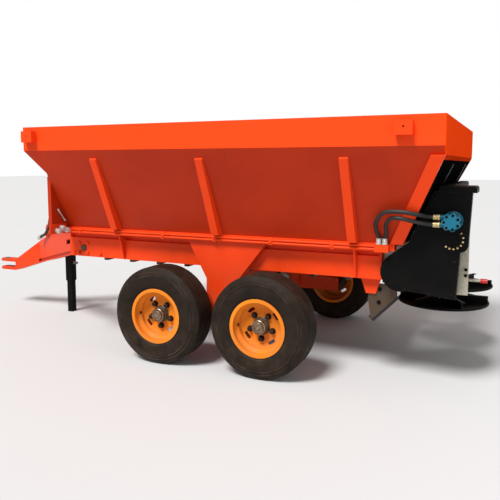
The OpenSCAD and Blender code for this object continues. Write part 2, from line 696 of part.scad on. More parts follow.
module chute_back() color(zinc) place()
    box([-back_x, 6 - back_x], [-chute_y, chute_y], [chute_z + 40, chute_top]);

// Hood over the chute, with rounded long edges; over the guard it reaches further back
hood_front = -rear_x(chute_top) - 48;
hood_h = 42;
hood_r = 18;
hood_t = 6;
module hood_part(rear, y) along_y(y) polygon(concat([[rear, chute_top], [hood_front, chute_top]],
    arc([hood_front - hood_r, chute_top + hood_h - hood_r], hood_r, 0, 90),
    arc([rear + hood_r, chute_top + hood_h - hood_r], hood_r, 90, 180)));
module hood_space(rear, y)
    box([rear + hood_t, hood_front - hood_t], y, [chute_top - 1, chute_top + hood_h - hood_t - hood_r / 2]);
module chute_hood() color(gloss_black) place() {
    step_y = chute_y - 90;
    y = [-chute_out - 20, guard_face + 5];
    rear = [-back_x - 14, -chute_rear - 45];
    difference() {
        union() {
            hood_part(rear[0], [y[0], step_y + 1]);
            hood_part(rear[1], [step_y, y[1]]);
        }
        hood_space(rear[0], [y[0] + hood_t, step_y + hood_t + 1]);
        hood_space(rear[1], [step_y + hood_t, y[1] - hood_t]);
    }
}

// Guard over the drive chain: a round lobe at the drive shaft, a slanted upper edge and a stepped rear edge.
// The motor sits high on its outer face, with the bearing of the tension wheel under it.
lobe_r = 135;
lobe_turn = 54;
motor_at = [-disc_x - 95, chute_top - 182];
motor_lobes = 7;
port_x = motor_at[0] + 75;
port_y = guard_face + 72;
port_up = 25;
tension_z = motor_at[1] - 122;
module chain_guard() color(gloss_black) place() {
    along_y([guard_y, guard_face]) {
        translate([drive_x, shaft_z]) circle(r = lobe_r);
        polygon(concat([[drive_x, shaft_z], [drive_x, shaft_z] + lobe_r * [cos(lobe_turn), sin(lobe_turn)],
            [-rear_x(sill_z) - 32, sill_z + 13], [-rear_x(chute_top) - 12, chute_top], [-chute_rear - 18, chute_top]],
            arc([48 - chute_rear, motor_at[1] - 160], 50, 180, 270),
            [[66 - chute_rear, chute_z - 10], [drive_x - 50, shaft_z - 125]]));
    }
    rod_y(motor_at[0], tension_z, 112, [guard_face, guard_face + 8]);
    rod_y(motor_at[0], tension_z, 62, [guard_face, guard_face + 22]);
    for (at = [[drive_x - 80, frame_z - 15], [70 - chute_rear + 40, frame_z - 15], [motor_at[0], chute_top - 60]])
        rod_y(at[0], at[1], 40, [chute_out, guard_y]);
}

module conveyor_motor() color(blue) place() {
    x = motor_at[0];
    z = motor_at[1];
    rod_y(x, z, motor_d + 4, [guard_face, guard_face + 14]);
    rod_y(x, z, motor_d - 26, [guard_face + 13, guard_face + 152]);
    for (i = [0:motor_lobes - 1]) let (turn = i * 360 / motor_lobes, r = motor_d / 2 - 17)
        rod_y(x + r * cos(turn), z + r * sin(turn), 34, [guard_face + 13, guard_face + 146]);
    for (up = [-port_up, port_up]) rod_x(port_y, z + up, 34, [x + 20, port_x]);
}

// Spinner: two vaned discs hang under a cross beam, each on its own upright hydraulic motor
spin_d = 35;
plate_t = 8;
beam_z = [chute_z + 5, chute_z + 75];
neck_d = 70;
edge_r = 9;
disc_flat = 150;

module spinner_beam() color(gloss_black) place() difference() {
    box([-disc_x - 55, 55 - disc_x], [-chute_y, chute_y], beam_z);
    for (side = [-1, 1]) rod_z(-disc_x, side * disc_gap / 2, neck_d + 2 * running, [0, hopper_top]);
}

module spinner_motors() color(blue) place() for (side = [-1, 1]) translate([-disc_x, side * disc_gap / 2, 0])
    difference() {
        union() {
            rod_z(0, 0, 104, [beam_z[0] - 40, beam_z[0]]);
            rod_z(0, 0, neck_d, [beam_z[0] - 1, beam_z[1] + 1]);
            rod_z(0, 0, 104, [beam_z[1], beam_z[1] + 120]);
        }
        rod_z(0, 0, spin_d + 2 * running, [0, beam_z[1] - 5]);
    }

// Shallow dish with a rolled edge, whose vanes stand on its upper face
module spinner(side) color(gloss_black) place() translate([-disc_x, side * disc_gap / 2, 0]) flip(side) {
    top = disc_z + plate_t;
    edge = disc_d / 2 - edge_r;
    rotate_extrude() {
        polygon([[0, disc_z], [disc_flat, disc_z], [edge, disc_z + disc_rise], [edge, top + disc_rise], [disc_flat, top], [0, top]]);
        translate([edge, disc_z + disc_rise + plate_t / 2]) circle(r = edge_r);
    }
    rod_z(0, 0, 120, [top - 1, top + 30]);
    rod_z(0, 0, spin_d, [disc_z, beam_z[1] - 12]);
    for (i = [0:vanes - 1]) rotate(i * 360 / vanes) {
        along_y([-3, 3]) polygon([[50, top - 1], [disc_flat, top - 1], [edge - 2, top + disc_rise - 1],
            [edge - 2, top + vane_h], [50, top + vane_h]]);
        box([70, edge - 2], [-3, 25], [top + vane_h - 6, top + vane_h]);
    }
}

// Splash plates between the rear wheels and the discs: each hangs on a frame bracket and has
// a rubber strip along its slanted lower edge
splash_y = bracket_y - 8;
SPLASH = [for (p = [[90, -40], [96, -170], [72, -310], [-110, -123], [-110, -40]]) [p[0] - frame_rear, frame_z + p[1]]];
strip_slope = unit(SPLASH[3] - SPLASH[2]);
strip_down = [-strip_slope[1], strip_slope[0]];

module splash_plate() color(iron) place() for (side = [-1, 1]) flip(side)
    along_y([splash_y, bracket_y]) polygon(SPLASH);

module splash_flap() color(rubber) place() for (side = [-1, 1]) flip(side)
    along_y([splash_y - 8, splash_y]) polygon([for (p = [[2, -30], [2, 22], [3, 22], [3, -30]])
        SPLASH[p[0]] + strip_down * p[1]]);

// Handle on the chute's back plate with a plastic grip
handle_at = [chute_y - 162, frame_z];
module gate_handle() color(zinc) place()
    rod_x(handle_at[0], handle_at[1], 22, [-chute_rear - 70, -back_x]);
module handle_grip() color(red) place()
    rod_x(handle_at[0], handle_at[1], 32, [-chute_rear - 115, -chute_rear - 70]);

// Hydraulic lines: steel pipes along the left sill, and hoses swept along routes of chosen points
hose_d = 28;
pipe_d = 18;
block_y = [sill_face, sill_face + 55];
block_z = [ledge_z - 5, sill_z - 5];
rear_block = [90 - rear_foot, 185 - rear_foot];
front_block = [bulkhead_x - 41, bulkhead_x + 44];
hose_end = block_z[1] + running;
drop_at = block_y[0] + 32;
end_run = 40;

// Route of a hose from a motor port at height z up over a crest, beside the hopper's side, and down to the
// rear block at x. OVER holds along, out and up for the crest's points, DOWN the same for the fall.
function route(z, x, rise, OVER, DOWN) = let (crest = max(z, hose_end + rise)) concat(
    [[port_x + running, port_y, z], [port_x + end_run + 2, port_y, z]],
    [for (p = OVER) [port_x + p[0], side_y(crest + p[2]) + p[1], crest + p[2]]],
    [for (p = DOWN) let (at = hose_end + p[2] * (crest - hose_end)) [x + p[0], side_y(at) + p[1], at]],
    [[x, drop_at, hose_end + end_run], [x, drop_at, hose_end]]);

PRESSURE = route(motor_at[1] + port_up, rear_block[1] - 26, 190,
    [[140, 58, 23], [240, 67, 37], [345, 55, 25]], [[3, 45, 0.79], [7, 35, 0.44]]);
RETURN = route(motor_at[1] - port_up, rear_block[0] + 28, 150,
    [[140, 60, 21], [230, 81, 43], [300, 64, 37]], [[-20, 49, 0.90], [-18, 35, 0.52]]);

// The feed hose runs from the front block to the left rail: part of the rail's length, out from it and up
FEED_RAIL = [[0.138, 132, 188], [0.289, 120, 170], [0.419, 87, 124], [0.549, 44, 79], [0.639, 32, 38],
    [0.709, 36, 17], [0.78, 50, 13]];
FEED = concat([for (up = [0, end_run]) [front_block[1] - 22, drop_at, hose_end + up]],
    [[front_block[1] + 30, drop_at - 22, hose_end + 105]],
    [for (p = FEED_RAIL) let (x = rail_x + p[0] * (nose_x - rail_x)) [x, rail_y(x) + p[1], rail_top(x) + p[2]]]);

// A point of a smooth curve between b and c, with neighbours a and d
function smooth(a, b, c, d, t) = 0.5 * (2 * b + (c - a) * t + (2 * a - 5 * b + 4 * c - d) * t * t
    + (3 * b - a - 3 * c + d) * t * t * t);
function curve(points, steps) = let (last = len(points) - 1) concat([for (i = [0:last - 1]) for (k = [0:steps - 1])
    smooth(points[max(i - 1, 0)], points[i], points[i + 1], points[min(i + 2, last)], k / steps)], [points[last]]);
function unit(v) = v / norm(v);

module tube(points, d, sides = 10) {
    path = curve(points, 2);
    last = len(path) - 1;
    end = len(points) - 1;
    rings = [for (i = [0:last]) let (
        heading = unit(i == 0 ? points[1] - points[0] : i == last ? points[end] - points[end - 1]
            : path[i + 1] - path[i - 1]),
        across = unit(cross(heading, [0, 1, 0])),
        over = cross(across, heading))
        for (k = [0:sides - 1]) path[i] + d / 2 * (cos(k * 360 / sides) * across + sin(k * 360 / sides) * over)];
    skin = [for (i = [0:last - 1]) for (k = [0:sides - 1]) let (
        a = i * sides + k, b = i * sides + (k + 1) % sides) each [[a, b, a + sides], [b, b + sides, a + sides]]];
    caps = [[for (k = [sides - 1:-1:0]) k], [for (k = [0:sides - 1]) last * sides + k]];
    polyhedron(rings, concat(skin, caps));
}

module pressure_hose() color(rubber) place() tube(PRESSURE, hose_d);
module return_hose() color(rubber) place() tube(RETURN, hose_d);
module feed_hose() color(rubber) place() tube(FEED, hose_d);

module oil_pipes() color(paint) place() {
    for (z = [sill_z - 20, sill_z - 43])
        rod_x(sill_face + pipe_d / 2, z, pipe_d, [rear_block[1] - 20, front_block[0] + 20]);
    box(rear_block, block_y, block_z);
    box(front_block, block_y, block_z);
}

// Valve block with two couplings on the left rail
module valve_block() color(steel) place() {
    x = [rail_x + 260, rail_x + 350];
    y = [rail_y(x[1]) - 38, rail_y(x[1])];
    top = rail_top(x[0]) + 65;
    along_y(y) polygon([[x[0], rail_top(x[0])], [x[1], rail_top(x[1])], [x[1], top], [x[0], top]]);
    for (coupling = [x[0] + 24, x[1] - 24]) rod_z(coupling, (y[0] + y[1]) / 2, 26, [top - 1, top + 45]);
}

// Upright ear on the left rail, with a clip that holds the feed hose's front end
module hose_holder() color(paint) place() {
    foot = [rail_node(rail_parts - 3), rail_node(rail_parts - 2)];
    top = foot[0][1] + 95;
    round_r = 60;
    on_rail([0, rail_wide]) polygon(concat([foot[0], foot[1]],
        arc([foot[1][0] - round_r, top - round_r], round_r, 0, 90), [[foot[0][0], top]]));
    clip = foot[1][0] - 45;
    box([clip, clip + 24], [rail_y(clip) - 4, rail_y(clip) + 6], [rail_top(clip), rail_top(clip) + 40]);
}

tyre(1, 1);  // tyre_front_left
tyre(1, -1);  // tyre_front_right
tyre(-1, 1);  // tyre_rear_left
tyre(-1, -1);  // tyre_rear_right
rim(1, 1);  // rim_front_left
rim(1, -1);  // rim_front_right
rim(-1, 1);  // rim_rear_left
rim(-1, -1);  // rim_rear_right
hub(1, 1);  // hub_front_left
hub(1, -1);  // hub_front_right
hub(-1, 1);  // hub_rear_left
hub(-1, -1);  // hub_rear_right
walking_beam(1);  // walking_beam_left
walking_beam(-1);  // walking_beam_right
hanger(1);  // hanger_left
hanger(-1);  // hanger_right
pivot_pins();
frame_beam(1);  // frame_left
frame_beam(-1);  // frame_right
crossmembers();
sill(1);  // sill_left
sill(-1);  // sill_right
drawbar(1);  // drawbar_left
drawbar(-1);  // drawbar_right
hitch_nose();
stand_sleeve();
stand_leg();
hopper_side(1);  // hopper_left
hopper_side(-1);  // hopper_right
hopper_front_wall();  // hopper_front
hopper_rear_wall();
ribs(1);  // ribs_left
ribs(-1);  // ribs_right
feed_gate();
gate_guides();
conveyor_deck();
conveyor_chain();
conveyor_shafts();
shaft_bearings();
chute_side(1);  // chute_left
chute_side(-1);  // chute_right
chute_back();
chain_guard();
chute_hood();
conveyor_motor();
spinner_beam();
spinner_motors();
spinner(1);  // spinner_left
spinner(-1);  // spinner_right
splash_plate();
splash_flap();
gate_handle();
handle_grip();
pressure_hose();
return_hose();
oil_pipes();
feed_hose();
valve_block();
hose_holder();
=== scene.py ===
"""Dresses the towed fertilizer spreader: paint, rubber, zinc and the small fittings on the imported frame."""
import math

import bpy
from mathutils import Matrix, Vector


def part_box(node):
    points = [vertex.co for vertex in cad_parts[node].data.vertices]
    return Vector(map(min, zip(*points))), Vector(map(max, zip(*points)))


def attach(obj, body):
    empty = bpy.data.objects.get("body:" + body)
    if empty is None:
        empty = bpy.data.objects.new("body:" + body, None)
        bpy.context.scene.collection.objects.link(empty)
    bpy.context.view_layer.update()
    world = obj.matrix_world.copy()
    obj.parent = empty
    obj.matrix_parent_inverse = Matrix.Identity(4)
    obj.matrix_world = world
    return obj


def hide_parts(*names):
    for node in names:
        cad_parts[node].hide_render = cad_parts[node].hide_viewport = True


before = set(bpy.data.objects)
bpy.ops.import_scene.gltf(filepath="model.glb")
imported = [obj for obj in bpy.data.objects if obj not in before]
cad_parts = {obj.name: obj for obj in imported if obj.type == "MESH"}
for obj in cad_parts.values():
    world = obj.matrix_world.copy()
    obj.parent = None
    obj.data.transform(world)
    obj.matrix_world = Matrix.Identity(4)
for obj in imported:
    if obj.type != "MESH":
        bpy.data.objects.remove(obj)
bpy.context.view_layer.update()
bpy.ops.object.select_all(action="DESELECT")

# Studio: a pale floor that carries on to the white sky, one high soft sun over the camera's left
# shoulder and a weak fill from the rear, as in a plain product picture.
floor_size = 120
floor_grey = (0.62, 0.615, 0.61, 1)
floor_shade = 0.97
sky_white = (1.0, 1.0, 1.0, 1)
sky_seen = 1.0
sky_light = 0.40
sun_power = 3.9
sun_spread = 0.35
sun_from = (0.25, 1.0, 1.45)
fill_at = Vector((-7.0, 3.0, 3.5))
fill_target = Vector((-0.6, 0, 0.8))
fill_size = 4
fill_power = 60


def add_node(tree, kind, values=None, **settings):
    """Adds a shader node, with its settings, and its inputs as plain values or as sockets to link from."""
    node = tree.nodes.new(kind)
    for key, value in settings.items():
        setattr(node, key, value)
    for socket, value in (values or {}).items():
        if isinstance(value, bpy.types.NodeSocket):
            tree.links.new(value, node.inputs[socket])
        else:
            node.inputs[socket].default_value = value
    return node


def noise(tree, scale, detail, roughness=0.5):
    """A cloudy pattern on Object coordinates, as a socket of values from 0 to 1."""
    spot = add_node(tree, "ShaderNodeTexCoord")
    cloud = add_node(tree, "ShaderNodeTexNoise", {
        "Vector": spot.outputs["Object"], "Scale": scale, "Detail": detail, "Roughness": roughness})
    return cloud.outputs["Fac"]


def new_material(name, constants):
    """A material with its Principled shader, whose constant inputs are set on the shader itself."""
    material = bpy.data.materials.new(name)
    material.use_nodes = True
    shader = material.node_tree.nodes["Principled BSDF"]
    for socket, value in constants.items():
        shader.inputs[socket].default_value = value
    return material, material.node_tree, shader


bpy.ops.mesh.primitive_plane_add(size=floor_size)
floor = bpy.context.object
floor.name = "studio_floor"
floor_paint, tree, shader = new_material("pale_floor", {"Roughness": 0.9})
tone = add_node(tree, "ShaderNodeValToRGB", {"Fac": noise(tree, 0.7, 3)})
tone.color_ramp.elements[0].color = [floor_shade * c for c in floor_grey[:3]] + [1]
tone.color_ramp.elements[1].color = floor_grey
tree.links.new(tone.outputs["Color"], shader.inputs["Base Color"])
floor.data.materials.append(floor_paint)

world = bpy.data.worlds.new("pale_sky")
world.use_nodes = True
sky = world.node_tree
background = sky.nodes["Background"]
background.inputs["Color"].default_value = sky_white
to_camera = add_node(sky, "ShaderNodeLightPath").outputs["Is Camera Ray"]
strength = add_node(sky, "ShaderNodeMapRange",
                    {"Value": to_camera, "To Min": sky_light, "To Max": sky_seen})
sky.links.new(strength.outputs["Result"], background.inputs["Strength"])
bpy.context.scene.world = world
bpy.context.scene.view_settings.view_transform = "Standard"

bpy.ops.object.light_add(type="SUN")
sun = bpy.context.object
sun.name = "key_sun"
sun.data.energy = sun_power
sun.data.angle = sun_spread
sun.rotation_euler = Vector(sun_from).to_track_quat("Z", "Y").to_euler()

bpy.ops.object.light_add(type="AREA", location=fill_at)
fill = bpy.context.object
fill.name = "fill_rear"
fill.data.size = fill_size
fill.data.energy = fill_power
fill.rotation_euler = (fill_target - fill_at).to_track_quat("-Z", "Y").to_euler()

# Camera at the photograph's place: at eye height on the machine's left, level with its rear end, and
# turned towards the front. The focal length and the picture's centre are in the photograph's pixels.
eye = (-2.6786, 4.747, 1.5402)
eye_turn = 0.4201
eye_dip = 0.1007
focal_px = 583.3
centre_px = (255.8, 223.8)
frame_px = 500
sensor = 36
bpy.ops.object.camera_add(location=eye, rotation=(math.pi / 2 - eye_dip, 0, math.pi + eye_turn))
camera = bpy.context.object
camera.data.sensor_width = sensor
camera.data.lens = sensor * focal_px / frame_px
camera.data.shift_x = 0.5 - centre_px[0] / frame_px
camera.data.shift_y = centre_px[1] / frame_px - 0.5
bpy.context.scene.camera = camera

# Tyres: moulded rubber with four ribs round the tread and raised rings on the sidewall. The rubber is
# matt brown-black, and field dust stays in the grooves and low on the sidewalls. The edges of the ribs and
# rings are lighter brown, partly scuffed and partly painted highlight.
CORNERS = ("front_left", "front_right", "rear_left", "rear_right")
axle_x = {"front": -0.1775, "rear": -1.0325}
axle_y = {"left": 0.93, "right": -0.93}
axle_z = 0.38
rubber_black = (0.0085, 0.0060, 0.0043, 1)
rubber_worn = (0.028, 0.0178, 0.0118, 1)
rubber_edge_highlight = (0.105, 0.072, 0.052, 1)
dust_brown = (0.25, 0.165, 0.105, 1)


def effect_group(name, inputs, outputs):
    """An empty shader node group with named float inputs, each with its usual value, and named outputs."""
    group = bpy.data.node_groups.new(name, "ShaderNodeTree")
    for socket, value in inputs.items():
        entry = group.interface.new_socket(socket, in_out="INPUT", socket_type="NodeSocketFloat")
        entry.default_value = value
    for socket, kind in outputs.items():
        group.interface.new_socket(socket, in_out="OUTPUT", socket_type=kind)
    return group, group.nodes.new("NodeGroupInput"), group.nodes.new("NodeGroupOutput")


def use_group(tree, group, **values):
    """Places a group in a material with its own values."""
    node = tree.nodes.new("ShaderNodeGroup")
    node.node_tree = group
    for socket, value in values.items():
        node.inputs[socket.title()].default_value = value
    return node


def mix(tree, mask, first, second):
    """Mixes two colours, each a plain colour or a socket, by a mask socket."""
    # A Mix node has its colours on inputs 6 and 7 and on output 2
    node = add_node(tree, "ShaderNodeMix", {"Factor": mask}, data_type="RGBA")
    for socket, value in ((node.inputs[6], first), (node.inputs[7], second)):
        if isinstance(value, bpy.types.NodeSocket):
            tree.links.new(value, socket)
        else:
            socket.default_value = value
    return node.outputs[2]


def stretch(tree, value, low, high, out_low=0.0, out_high=1.0):
    """Maps a socket's values from one range to another and stops at its ends."""
    ends = {"From Min": low, "From Max": high, "To Min": out_low, "To Max": out_high}
    return add_node(tree, "ShaderNodeMapRange", {"Value": value, **ends}).outputs["Result"]


def times(tree, first, second):
    """Multiplies two sockets, or a socket and a plain value."""
    return add_node(tree, "ShaderNodeMath", {0: first, 1: second}, operation="MULTIPLY").outputs[0]


def plus(tree, first, second):
    """Adds two sockets, or a socket and a plain value."""
    return add_node(tree, "ShaderNodeMath", {0: first, 1: second}, operation="ADD").outputs[0]


# Dust: lies on faces that look up and fades with height over the ground
dust, inside, outside = effect_group(
    "field_dust", {"Amount": 0.5, "Reach": 0.9, "Scale": 9.0}, {"Mask": "NodeSocketFloat"})
spot = add_node(dust, "ShaderNodeTexCoord")
height = add_node(dust, "ShaderNodeSeparateXYZ", {"Vector": spot.outputs["Object"]})
true_face = add_node(dust, "ShaderNodeNewGeometry")
facing = add_node(dust, "ShaderNodeSeparateXYZ", {"Vector": true_face.outputs["Normal"]})
low_down = stretch(dust, height.outputs["Z"], inside.outputs["Reach"], 0.0)
lies_on = stretch(dust, facing.outputs["Z"], -0.2, 1.0, 0.0, 0.7)
patchy = stretch(dust, noise(dust, inside.outputs["Scale"], 6.0, 0.65), 0.38, 0.72)
dusty = times(dust, times(dust, plus(dust, low_down, lies_on), patchy), inside.outputs["Amount"])
dust.links.new(dusty, outside.inputs["Mask"])

# Grain: a fine bump, as of moulded rubber, cast iron or sprayed paint
grain, inside, outside = effect_group(
    "fine_grain", {"Scale": 300.0, "Strength": 0.2, "Depth": 0.0005}, {"Normal": "NodeSocketVector"})
bump = add_node(grain, "ShaderNodeBump", {
    "Height": noise(grain, inside.outputs["Scale"], 3.0),
    "Strength": inside.outputs["Strength"],
    "Distance": inside.outputs["Depth"]})
grain.links.new(bump.outputs["Normal"], outside.inputs["Normal"])

# Edge wear: finds edges by comparing the true normal with a rounded one, broken up by a noise
wear, inside, outside = effect_group(
    "edge_wear", {"Amount": 0.6, "Radius": 0.004, "Scale": 30.0}, {"Mask": "NodeSocketFloat"})
rounded = add_node(wear, "ShaderNodeBevel", {"Radius": inside.outputs["Radius"]}, samples=4)
true_face = add_node(wear, "ShaderNodeNewGeometry")
normals = {0: rounded.outputs["Normal"], 1: true_face.outputs["Normal"]}
likeness = add_node(wear, "ShaderNodeVectorMath", normals, operation="DOT_PRODUCT")
edge = stretch(wear, likeness.outputs["Value"], 0.985, 0.86)
chips = stretch(wear, noise(wear, inside.outputs["Scale"], 5.0), 0.42, 0.6)
wear.links.new(times(wear, times(wear, edge, chips), inside.outputs["Amount"]), outside.inputs["Mask"])


def add_grain(material, **values):
    """Gives a material the fine bump, with its own values."""
    tree = material.node_tree
    bump = use_group(tree, grain, **values)
    tree.links.new(bump.outputs["Normal"], tree.nodes["Principled BSDF"].inputs["Normal"])


def dress(material, *nodes):
    """Gives CAD nodes their finish."""
    for name in nodes:
        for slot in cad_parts[name].material_slots:
            slot.material = material


tyre_rubber, tree, shader = new_material("tyre_rubber", {"Specular IOR Level": 0.12})
scuff = noise(tree, 14.0, 5.0)
settled = use_group(tree, dust, amount=0.10, reach=0.55, scale=12.0).outputs["Mask"]
# Painted highlight, with some scuffing: a lighter brown along the edges of the ribs and rings.
rubbed_and_highlit = use_group(tree, wear, amount=0.75, radius=0.006, scale=9.0).outputs["Mask"]
shade = mix(tree, stretch(tree, scuff, 0.2, 0.9), rubber_black, rubber_worn)
shade = mix(tree, rubbed_and_highlit, shade, rubber_edge_highlight)
tree.links.new(mix(tree, settled, shade, dust_brown), shader.inputs["Base Color"])
tree.links.new(stretch(tree, scuff, 0.3, 0.7, 0.48, 0.72), shader.inputs["Roughness"])
add_grain(tyre_rubber, scale=420.0, strength=0.25)
dress(tyre_rubber, *[f"tyre_{corner}" for corner in CORNERS])

# Rims: pressed and welded steel, sprayed amber yellow before the tyre goes on. The paint is chipped
# along the flange, round the hand holes and where the nuts bear.
rim_amber = (0.89, 0.27, 0.012, 1)
rim_deep = (0.70, 0.17, 0.008, 1)
bare_steel_grey = (0.25, 0.235, 0.22, 1)
spray_grain = {"scale": 260.0, "strength": 0.12}


def painted(name, colour, deep, under, roughness, dust_amount, dust_reach, wear_amount,
            surface=spray_grain, specular=0.13):
    """Sprayed paint: a slow change of tone, dust, chipped edges that show what is under it, a soft bump."""
    material, tree, shader = new_material(
        name, {"Coat Weight": 0.03, "Coat Roughness": 0.2, "Specular IOR Level": specular})
    drift = noise(tree, 2.2, 4.0)
    settled = use_group(tree, dust, amount=dust_amount, reach=dust_reach).outputs["Mask"]
    chipped = use_group(tree, wear, amount=wear_amount).outputs["Mask"]
    tone = mix(tree, stretch(tree, drift, 0.3, 0.7), deep, colour)
    tone = mix(tree, settled, tone, dust_brown)
    tree.links.new(mix(tree, chipped, tone, under), shader.inputs["Base Color"])
    gloss = stretch(tree, drift, 0.3, 0.7, roughness, roughness + 0.1)
    tree.links.new(plus(tree, gloss, times(tree, settled, 0.4)), shader.inputs["Roughness"])
    add_grain(material, **surface)
    return material


rim_paint = painted("rim_paint", rim_amber, rim_deep, bare_steel_grey,
                    roughness=0.42, dust_amount=0.35, dust_reach=0.6, wear_amount=0.8)
dress(rim_paint, *[f"rim_{corner}" for corner in CORNERS])

# Hubs: machined cast iron, bolted in the rim with five studs and nuts, with a ringed grease cap. The
# iron has gone brown-grey with weather, and so have the bearings, chain, shafts and splash plates.
iron_grey = (0.085, 0.062, 0.044, 1)
iron_rust = (0.12, 0.048, 0.020, 1)
iron_bright = (0.42, 0.39, 0.36, 1)
cast_iron, tree, shader = new_material("cast_hub", {"Metallic": 0.4, "Specular IOR Level": 0.3})
blotch = noise(tree, 26.0, 6.0)
chipped = use_group(tree, wear, amount=0.7, radius=0.003).outputs["Mask"]
tone = mix(tree, stretch(tree, blotch, 0.45, 0.75), iron_grey, iron_rust)
tree.links.new(mix(tree, chipped, tone, iron_bright), shader.inputs["Base Color"])
tree.links.new(stretch(tree, blotch, 0.3, 0.7, 0.38, 0.62), shader.inputs["Roughness"])
add_grain(cast_iron, scale=180.0, strength=0.35)
dress(cast_iron, *[f"hub_{corner}" for corner in CORNERS])
dress(cast_iron, "shaft_bearings", "conveyor_chain", "conveyor_shafts", "splash_plate")

# Bogie: flame-cut walking beams on greased pins in folded hangers, all welded steel under orange paint.
# Wheels throw dirt at them, so dust lies thickest here. A grease nipple stands on each pin's end.
orange = (0.82, 0.054, 0.006, 1)
orange_deep = (0.70, 0.043, 0.005, 1)
orange_chip = (0.30, 0.045, 0.022, 1)
orange_low = painted("orange_paint_low", orange, orange_deep, orange_chip,
                     roughness=0.40, dust_amount=0.30, dust_reach=0.8, wear_amount=0.6)
dress(orange_low, "walking_beam_left", "walking_beam_right", "hanger_left", "hanger_right")


def mottled(name, constants, first, second, scale, detail, spread, gloss):
    """A finish that a noise mottles from one colour to a second one, with a gloss that changes along."""
    material, tree, shader = new_material(name, constants)
    cloud = noise(tree, scale, detail)
    tone = mix(tree, stretch(tree, cloud, *spread), first, second)
    tree.links.new(tone, shader.inputs["Base Color"])
    tree.links.new(stretch(tree, cloud, 0.3, 0.7, *gloss), shader.inputs["Roughness"])
    return material


steel_grey = (0.42, 0.41, 0.395, 1)
steel_dark = (0.22, 0.205, 0.19, 1)
bare_steel = mottled("bare_steel", {"Metallic": 0.85}, steel_grey, steel_dark,
                     scale=34.0, detail=6.0, spread=(0.4, 0.7), gloss=(0.28, 0.52))
add_grain(bare_steel, scale=150.0, strength=0.15)
dress(bare_steel, "pivot_pins", "conveyor_deck", "valve_block")


def turned(name, profile, steps):
    """A piece turned about Z: one point is drawn along a profile of (radius, height), the line is spun."""
    bpy.ops.object.select_all(action="DESELECT")
    bpy.ops.mesh.primitive_plane_add(size=0.01)
    bpy.ops.object.mode_set(mode="EDIT")
    bpy.ops.mesh.select_mode(type="VERT")
    bpy.ops.mesh.select_all(action="SELECT")
    bpy.ops.mesh.merge(type="CENTER")
    here = Vector((0, 0, 0))
    for step, (radius, height) in enumerate(profile):
        move = Vector((radius, 0, height)) - here
        if step == 0:
            bpy.ops.transform.translate(value=move)
        else:
            bpy.ops.mesh.extrude_region_move(TRANSFORM_OT_translate={"value": move})
        here += move
    bpy.ops.mesh.select_all(action="SELECT")
    bpy.ops.mesh.spin(steps=steps, angle=2 * math.pi, center=(0, 0, 0), axis=(0, 0, 1))
    bpy.ops.mesh.select_all(action="SELECT")
    bpy.ops.mesh.remove_doubles(threshold=1e-5)
    bpy.ops.mesh.normals_make_consistent(inside=False)
    bpy.ops.object.mode_set(mode="OBJECT")
    piece = bpy.context.object
    piece.name = name
    return piece


def finished(piece, body, finish, angle=0.6):
    """Gives a new piece its finish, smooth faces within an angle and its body."""
    piece.data.materials.clear()
    piece.data.materials.append(finish)
    bpy.ops.object.select_all(action="DESELECT")
    piece.select_set(True)
    bpy.context.view_layer.objects.active = piece
    bpy.ops.object.shade_smooth_by_angle(angle=angle)
    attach(piece, body)
    return piece


def joined(name, pieces):
    """Joins pieces to one, under a name."""
    bpy.ops.object.select_all(action="DESELECT")
    for piece in pieces:
        piece.select_set(True)
    bpy.context.view_layer.objects.active = pieces[0]
    if len(pieces) > 1:
        bpy.ops.object.join()
    whole = bpy.context.object
    whole.name = name
    return whole


def set_out(model, places):
    """Copies a model to places, each a point and the way its top faces, and joins the copies."""
    name = model.name
    copies = []
    for point, facing in places:
        copy = model.copy()
        copy.data = model.data.copy()
        turn = Vector(facing).to_track_quat("Z", "Y").to_matrix().to_4x4()
        copy.data.transform(Matrix.Translation(point) @ turn)
        bpy.context.collection.objects.link(copy)
        copies.append(copy)
    bpy.data.objects.remove(model)
    return joined(name, copies)


SIDES = (1, -1)
NIPPLE = [(0, 0), (0.008, 0), (0.008, 0.006), (0.004, 0.008),
          (0.004, 0.013), (0.0055, 0.016), (0.003, 0.02), (0, 0.02)]
pivot_x = -0.605
pivot_z = 0.42
pin_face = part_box("pivot_pins")[1].y
nipples = set_out(turned("pivot_nipples", NIPPLE, steps=12),
                  [((pivot_x, side * pin_face, pivot_z), (0, side, 0)) for side in SIDES])
finished(nipples, "chassis", bare_steel)

# Wheel nuts and hub caps: five dark steel nuts hold each rim on its studs, and a pressed cap with rings
# closes the bearing. They turn with their wheel.
nut_black = (0.012, 0.009, 0.007, 1)
nut_brown = (0.045, 0.028, 0.018, 1)
nut_steel = mottled("nut_steel", {"Metallic": 0.3, "Specular IOR Level": 0.2}, nut_black, nut_brown,
                    scale=70.0, detail=4.0, spread=(0.4, 0.7), gloss=(0.35, 0.55))
cap_tan = (0.30, 0.22, 0.15, 1)
cap_brown = (0.16, 0.085, 0.045, 1)
cap_steel = mottled("cap_steel", {"Metallic": 0.8}, cap_tan, cap_brown,
                    scale=45.0, detail=5.0, spread=(0.4, 0.7), gloss=(0.24, 0.42))


